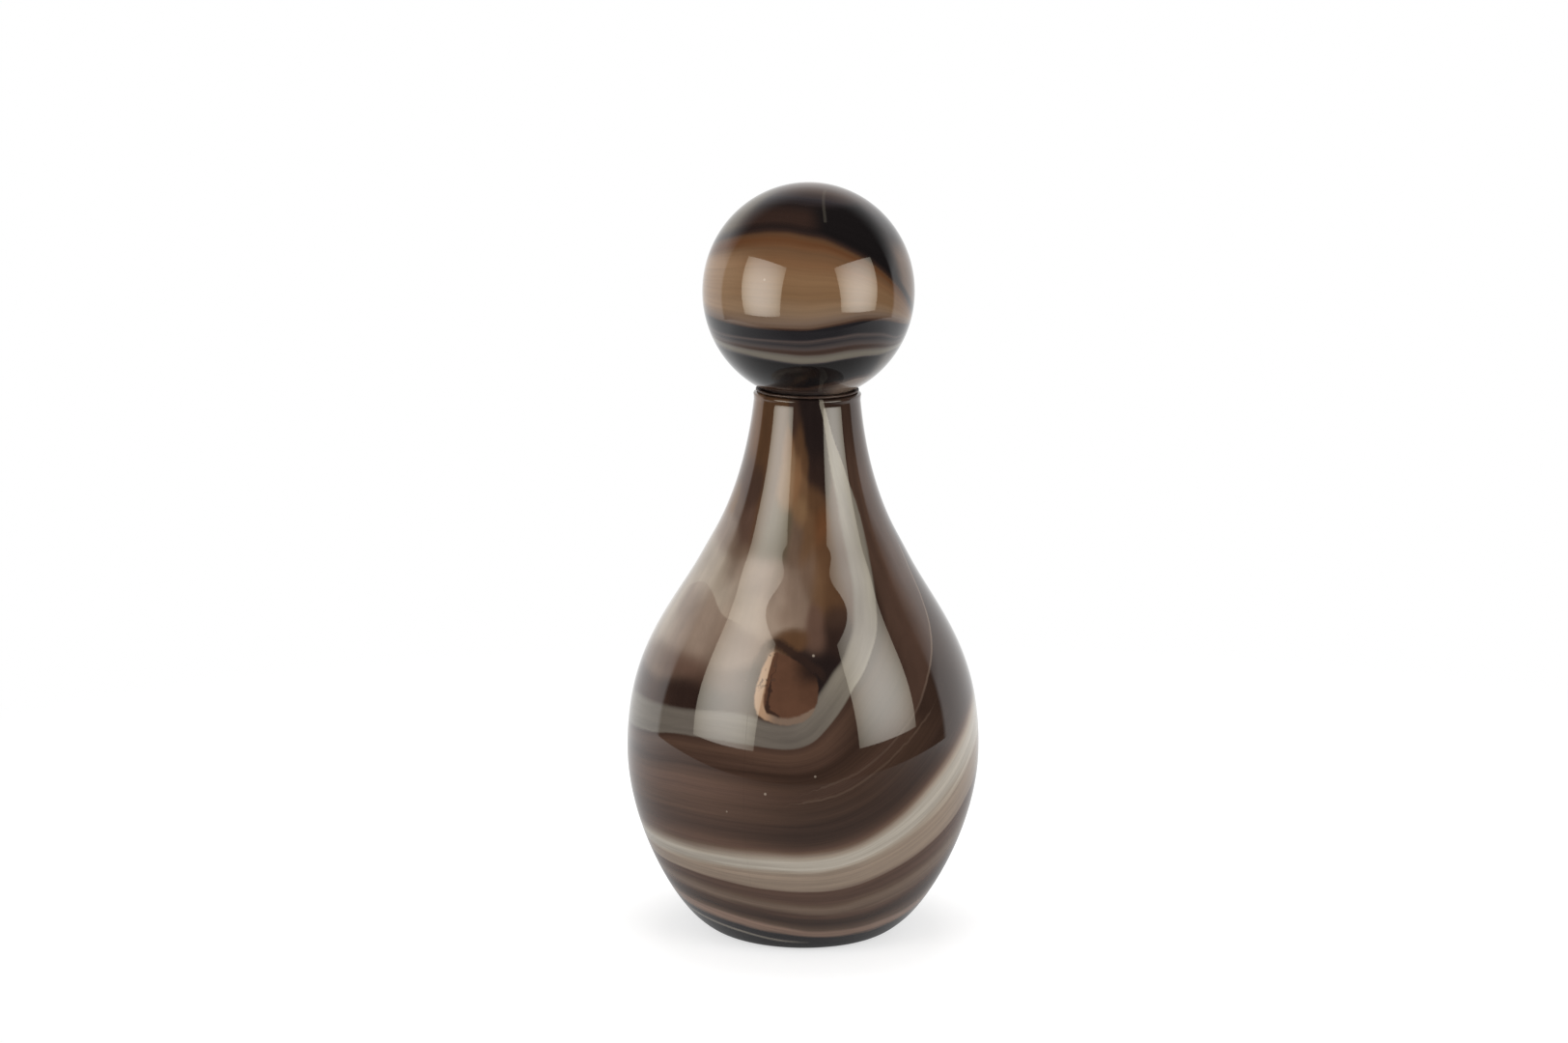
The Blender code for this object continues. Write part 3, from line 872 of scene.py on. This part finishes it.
def marbling_from(tree, end):
    """Colour of the bottle's marbling, counted from its right or its left end."""
    turn, front, band = tree.numbers("place_" + end)
    along, paleness, distance = tree.numbers("band_" + end)
    height = tree.number("height")
    patches = side_patches(tree, turn, height)

    # Right of the grey band the patches go on, darker under the long thread
    under_thread = tree.number("long_thread").step(-1.2, 0.6, 0.55, 1)
    under_thread = turn.step(90, 130).between(under_thread, 0.85)
    right_side = turn.step(35, 43) * height.step(92, 103)
    colour = tree.over(belly_streaks(tree, turn, front), patches.brighter(under_thread), right_side)

    streaks = tree.noise(along * 0.02, distance * 0.27, detail=4, roughness=0.6)
    outer_half = band.step(0.5, -0.5) * height.step(122, 150, 0, 0.8)
    grey = tree.over(GREY, SILVER, paleness.at_least(outer_half))
    grey = grey.brighter(streaks.swing(0.2, 0.35, middle=1))
    ragged = band + streaks.swing(0.07)
    colour = tree.over(colour, grey, ragged.step(-1.12, -0.9))
    return tree.over(colour, patches, ragged.step(0.8, 1.25))


def amber_eye(tree, colour):
    """The amber eye over the colour: a bright rim on its left, a crack in it and a shadow round it."""
    azimuth = tree.azimuth()
    height = tree.number("height")
    where = tree.place()
    fine = tree.noise(where, scale=420, detail=2)
    wander = fine.swing(0.4, 0.2)
    shadow = (abs(tree.number("eye_shadow")) + wander).step(0.7, 2.9, 1, 0)
    shadow = shadow * azimuth.step(-16, -10, 0.35, 0.9) * azimuth.step(9, 5)
    colour = tree.over(colour, PITCH, shadow)

    eye = tree.number("eye") + wander * 0.35
    rim_width = azimuth.step(-10.5, -14, 0, 3.6).at_least(height.step(108, 103.5, 0, 2.6))
    rim = (rim_width + eye * -1).step(-0.7, 0.7) * rim_width.step(0.2, 1.2)
    rim_colour = tree.over(FAWN, ORANGE, azimuth.step(-9, -14))
    heart = tree.over(MAHOGANY, PITCH, azimuth.step(-6, 2) * height.step(113, 119))
    heart = heart.brighter(tree.noise(where, scale=90, detail=4).step(0.25, 0.75, 0.8, 1.15))
    crack = abs(tree.number("eye_crack")) + height.step(108, 103.5, 0, -1) + wander
    heart = tree.over(heart, SOOT, crack.step(0.3, 1.2, 0.7, 0))
    speckles = fine.step(0.58, 0.66) * height.step(110, 116) * azimuth.step(-9, -12, 0, 0.7)
    inside = tree.over(tree.over(heart, rim_colour, rim), UMBER, speckles)
    return tree.over(colour, inside, eye.step(-0.5, 0.5))


def bottle_glass(bottle):
    tree = dressed(bottle, "marbled_bottle_glass")
    azimuth = tree.azimuth()
    share = tree.number("left_share")
    x, y, z = tree.place().parts()
    wisps = tree.noise(x * 9, y * 9, z * 90, detail=4).swing(0.9, 0.25)
    unsure = share * (share * -1 + 1)
    share = (share + unsure * wisps).step(0.3, 0.7)
    colour = tree.over(marbling_from(tree, "right"), marbling_from(tree, "left"), share)
    colour = amber_eye(tree, colour)
    threads = [
        (TAN, tree.line("long_thread", 0.25, 0.75, 1) * azimuth.step(36, 66, 0.12, 0.6)),
        (FAWN, tree.line("short_thread", 0.2, 0.8, 0.22)),
        (PALE, tree.line("hairline", 0.3, 0.9, 0.6) * azimuth.step(8, -12) * azimuth.step(-170, -120)),
    ]
    colour = with_bubbles(tree, tree.layered(colour, threads))
    for seed_place in SEEDS:
        colour = with_seed(tree, colour, *seed_place)
    glass_finish(tree, colour)


def ball_smoke(tree, colour):
    """Paler, smokier and darker glass over the ball's streaks, away from its middle."""
    front, latitude, over_cap = (tree.number(name) for name in ("front", "latitude", "over_cap"))
    azimuth = tree.azimuth()
    far_left = azimuth.step(-165, -115)
    dark_part = azimuth.step(-5, 12) * azimuth.step(64, 52)
    pale_part = azimuth.step(48, 60, 0, 0.75) * azimuth.step(95, 75)
    layers = [
        # The left of the amber, then the glass beside it and in the cap on the right, and over it far left
        (HONEY, front.step(-9, -3) * front.step(31, 21) * far_left * azimuth.step(-20, -75)),
        (HAZEL, azimuth.step(54, 66) * over_cap.step(3, 7) * latitude.step(34, 20) * azimuth.step(160, 110)),
        (INK, dark_part * (over_cap.step(1, 5) * latitude.step(62, 54))),
        (DRAB, azimuth.step(-52, -74) * over_cap.step(1, 8) * far_left * latitude.step(78, 60, 0, 0.85)),
        # A tan patch by the mouth and paler glass over it, both on the right
        (TAN, front.step(-54.5, -57) * azimuth.step(10, 38, 0, 0.9) * azimuth.step(75, 60)),
        (GREY, pale_part * (latitude.step(-49, -44) * latitude.step(-27, -31))),
    ]
    return tree.layered(colour, layers)


def ball_glass(ball):
    tree = dressed(ball, "marbled_ball_glass")
    front = tree.number("front")
    x, y, _ = tree.place().parts()
    drift = tree.noise(x * 16, y * 16, front * 0.07, detail=2)
    streaks = tree.noise(x * 14, y * 14, front * 0.4, detail=5, roughness=0.6)
    moved = front + drift.swing(0.8) + streaks.swing(0.4)
    lower = tree.ramp(moved, BALL_LOWER_COLOURS)
    upper = tree.ramp(moved, BALL_UPPER_COLOURS)
    amber_edge = front.step(BALL_AMBER_EDGE - 0.5, BALL_AMBER_EDGE + 0.5)
    colour = ball_smoke(tree, tree.over(lower, upper, amber_edge))
    colour = colour.brighter(streaks.swing(0.12, middle=1))
    colour = tree.over(colour, SILVER, tree.number("thread").step(0.4, 1.2, 0.13, 0))
    glass_finish(tree, with_bubbles(tree, colour))


def plug_glass(plug):
    """Smoky glass with streaks drawn down it."""
    tree = dressed(plug, "smoky_plug_glass")
    x, y, z = tree.place().parts()
    streaks = tree.noise(x * 140, y * 140, z * 25, detail=4)
    glass_finish(tree, tree.ramp(streaks, PLUG_COLOURS))
    tree.fill("Principled BSDF", {"Transmission Weight": PLUG_CLEARNESS})


def sleeve_polymer(sleeve):
    """Soft, with faint moulding rings; its smoky dark brown is painted shade in the gap between the ball and
    the lip.
    """
    tree = dressed(sleeve, "soft_sleeve_with_painted_shade")
    where = tree.place()
    cloud = tree.noise(where, scale=160)
    rings = (where.parts()[2] * (2 * math.pi / RING_SPACING)).math("SINE")
    height = rings * 0.5 + cloud
    surface = {
        "Base Color": tree.ramp(cloud, {0.3: BARK, 0.7: UMBER}),
        "Roughness": cloud.step(0.3, 0.7, *SLEEVE_ROUGHNESS),
        "Normal": tree.node("Bump", {"Strength": 0.2, "Distance": RING_HEIGHT, "Height": height}),
        "IOR": SLEEVE_IOR,
        "Transmission Weight": SLEEVE_CLEARNESS,
    }
    tree.fill("Principled BSDF", surface)


def make_pieces():
    bottle = turned("bottle_body", bottle_outline(), "bottle", "bottle")
    draw_bottle_marbling(bottle)
    bottle_glass(bottle)
    ball = turned("ball", ball_outline(), "stopper_ball", "stopper")
    draw_ball_marbling(ball)
    ball_glass(ball)
    plug_glass(turned("plug", plug_outline(), "stopper_plug", "stopper"))
    sleeve_polymer(turned("sleeve", sleeve_outline(), "plug_sleeve", "sleeve", ring=True))


# Camera
CAMERA_PLACE = (-0.00859, -1.5, 0.4887)
CAMERA_PITCH = math.radians(12.17)
CAMERA_ROLL = math.radians(0.64)
LENS = 88.96
SENSOR_WIDTH = 36

# Two tall soft boxes in front. Corners run from the left one below to the left one above.
SOFT_BOXES = {
    "soft_box_left": [
        (-0.557, -0.181, 0.083), (-0.287, -0.494, 0.077), (-0.176, -0.360, 0.482), (-0.39, -0.0785, 0.482),
    ],
    "soft_box_right": [
        (0.413, -0.598, 0.09), (0.598, -0.161, 0.119), (0.411, -0.072, 0.492), (0.205, -0.364, 0.492),
    ],
}
CARD_CELLS = 8
CARD_LIGHT = 7.7
CARD_DIMMER_SIDES = 0.56
CARD_DIMMER_ENDS = 0.48
CARD_COLOUR = (1.0, 0.955, 0.86)
CARD_EDGE_COLOUR = (1.0, 0.93, 0.76)

# Floor, fading to white between two shares of its reach
FLOOR_CENTRE = (0.05, 0.1)
FLOOR_REACH = (0.72, 0.5)
FLOOR_FADE = (0.33, 0.75)
FLOOR_DEPTH = -0.2 * MM
FLOOR_FACETS = 96
FLOOR_ALBEDO = 0.5
FLOOR_GLOW = 0.6
# In gloss the floor is a painted glow: grey, with painted light brighter behind and at the sides, and a
# painted shadow darkest right under the heel
FLOOR_GREY = 0.40
FLOOR_LEAST_GREY = 0.12
FLOOR_BRIGHTER_BACK = 1.7
FLOOR_BRIGHTER_SIDE = 0.8
FLOOR_SIDE_START = 0.1
FLOOR_DARKER_FRONT = 1.0
CONTACT_EDGE = (0.034, 0.05)
CONTACT_SHADE = 0.38

# World: even light for the colours, and for gloss white behind and dark in front
EVEN_LIGHT = 0.62
WHITE_AROUND = 1.0
DARK_FRONT = 0.02
BEHIND_LEAN = 0.03
BEHIND_EDGE = (0.25, 0.33)
HORIZON = (-0.05, 0.0)
LEVEL_RANGE = (0.4, 0.9)
LEVEL_FALL = 1.7

# Soft lamps that shade the colours: name, place, size and power
LAMPS = [
    ("lamp_left", (-0.9, -0.9, 0.7), 0.7, 7), ("lamp_right", (0.9, -0.9, 0.7), 0.7, 7),
    ("lamp_above", (0.0, 0.3, 1.3), 0.8, 7),
]
LAMP_AIM = (0, 0, 0.15)


def make_camera():
    """The camera at the photograph's viewing angle, a little rolled."""
    data = bpy.data.cameras.new("camera")
    data.lens = LENS
    data.sensor_width = SENSOR_WIDTH
    camera = added("camera", data)
    tilt = Matrix.Rotation(math.pi / 2 - CAMERA_PITCH, 4, "X")
    roll = Matrix.Rotation(CAMERA_ROLL, 4, "Z")
    camera.matrix_world = Matrix.Translation(CAMERA_PLACE) @ tilt @ roll
    bpy.context.scene.camera = camera


def soft_box_glow(tree):
    """Light that falls off, and turns warmer, from the card's middle to its edges."""
    sideways, endways = (abs(part).math("POWER", 2.0) for part in tree.numbers("spread")[:2])
    colour = {0: sideways, 6: (*CARD_COLOUR, 1), 7: (*CARD_EDGE_COLOUR, 1)}
    colour = tree.node("Mix", colour, output=2, data_type="RGBA")
    dimmed = (sideways * -CARD_DIMMER_SIDES + 1.0) * (endways * -CARD_DIMMER_ENDS + 1.0)
    strength = dimmed * CARD_LIGHT
    tree.fill("Material Output", {"Surface": tree.glow(strength, colour)})


def make_soft_box(name, corners):
    """A glowing card that only mirror-like surfaces see, brightest in its middle."""
    row = CARD_CELLS + 1
    line = np.linspace(0, 1, row)
    across, up = (grid.ravel() for grid in np.meshgrid(line, line))
    shares = ((1 - across) * (1 - up), across * (1 - up), across * up, (1 - across) * up)
    points = sum(share[:, None] * np.array(corner) for share, corner in zip(shares, corners))
    starts = [i * row + j for i in range(CARD_CELLS) for j in range(CARD_CELLS)]
    card = added_mesh(name, points, [(i, i + 1, i + row + 1, i + row) for i in starts])
    store(card, "spread", 2 * across - 1, 2 * up - 1, 0 * up)
    soft_box_glow(dressed(card, name))
    card.data.materials[0].cycles.emission_sampling = "NONE"
    for ray in ("camera", "diffuse", "shadow", "transmission"):
        setattr(card, "visible_" + ray, False)


def floor_surface(tree):
    """Diffuse for most rays, for gloss a painted grey glow whose painted light and painted shadow round the
    foot change with the place, and for the camera a fade.
    """
    plain = tree.node("BsdfDiffuse", {"Color": (FLOOR_ALBEDO,) * 3 + (1,)})
    x, y, _ = tree.place().parts()
    out = tree.vector(x * (1 / FLOOR_REACH[0]), y * (1 / FLOOR_REACH[1])).length()
    lit = tree.node("AddShader", {0: plain, 1: tree.glow(FLOOR_GLOW)})
    seen = tree.node("MixShader", {0: out.step(*FLOOR_FADE), 1: lit, 2: tree.glow(1.0)})

    # Painted light for gloss: brighter behind and at the sides, darker in front
    world_x = x + FLOOR_CENTRE[0]
    world_y = y + FLOOR_CENTRE[1]
    back = world_y.at_least(0.0) * FLOOR_BRIGHTER_BACK
    side = (abs(x) + -FLOOR_SIDE_START).at_least(0.0) * FLOOR_BRIGHTER_SIDE
    front = world_y.math("MINIMUM", 0.0) * FLOOR_DARKER_FRONT
    grey = back + side + front + FLOOR_GREY
    grey = tree.node("Clamp", {0: grey, 1: FLOOR_LEAST_GREY, 2: WHITE_AROUND})
    # Painted shadow round the foot
    from_axis = tree.vector(world_x, world_y).length()
    mirrored = tree.glow(grey * from_axis.step(*CONTACT_EDGE, CONTACT_SHADE, 1.0))
    by_gloss, by_camera = tree.ray("Is Glossy Ray"), tree.ray("Is Camera Ray")
    surface = tree.node("MixShader", {0: by_gloss, 1: plain, 2: mirrored})
    surface = tree.node("MixShader", {0: by_camera, 1: surface, 2: seen})
    tree.fill("Material Output", {"Surface": surface})


def make_floor():
    """A pale oval floor that fades into the white background and keeps the object's shadow."""
    turns = np.radians(np.arange(FLOOR_FACETS) * 360 / FLOOR_FACETS)
    rim = [(FLOOR_REACH[0] * math.cos(t), FLOOR_REACH[1] * math.sin(t), 0) for t in turns]
    floor = added_mesh("floor", rim, [range(FLOOR_FACETS)])
    floor.location = (*FLOOR_CENTRE, FLOOR_DEPTH)
    floor_surface(dressed(floor, "pale_floor"))


def make_world():
    """Even light for the colours, a white background, and for gloss a studio that is dark in front."""
    world = bpy.data.worlds.new("studio")
    bpy.context.scene.world = world
    tree = Tree(world)
    x, y, z = tree.node("TexCoord", {}, output=0).parts()
    behind = (y + x * BEHIND_LEAN).step(*BEHIND_EDGE)
    level = y.math("DIVIDE", tree.vector(0.0, y, z).length())
    level = tree.node("MapRange", {0: level, 1: LEVEL_RANGE[0], 2: LEVEL_RANGE[1]})
    level = level.math("POWER", LEVEL_FALL)
    share = behind * z.step(*HORIZON).between(1.0, level)
    brightness = tree.node("MapRange", {0: share, 3: DARK_FRONT, 4: WHITE_AROUND})
    mirrored = tree.ray("Is Glossy Ray") + tree.ray("Is Transmission Ray")
    strength = mirrored.between(EVEN_LIGHT, brightness)
    strength = tree.ray("Is Camera Ray").between(strength, 1.0)
    tree.fill("Background", {"Strength": strength, "Color": (1, 1, 1, 1)})


def make_lamp(name, place, size, power):
    """A soft lamp that shades the colours but doesn't show in the gloss."""
    data = bpy.data.lights.new(name, "AREA")
    data.size = size
    data.energy = power
    lamp = added(name, data)
    lamp.location = place
    lamp.rotation_euler = (Vector(LAMP_AIM) - lamp.location).to_track_quat("-Z", "Y").to_euler()
    lamp.visible_glossy = False
    lamp.visible_camera = False


make_camera()
make_pieces()
make_floor()
for name_and_corners in SOFT_BOXES.items():
    make_soft_box(*name_and_corners)
make_world()
for lamp_values in LAMPS:
    make_lamp(*lamp_values)
bpy.context.scene.view_settings.view_transform = "Standard"
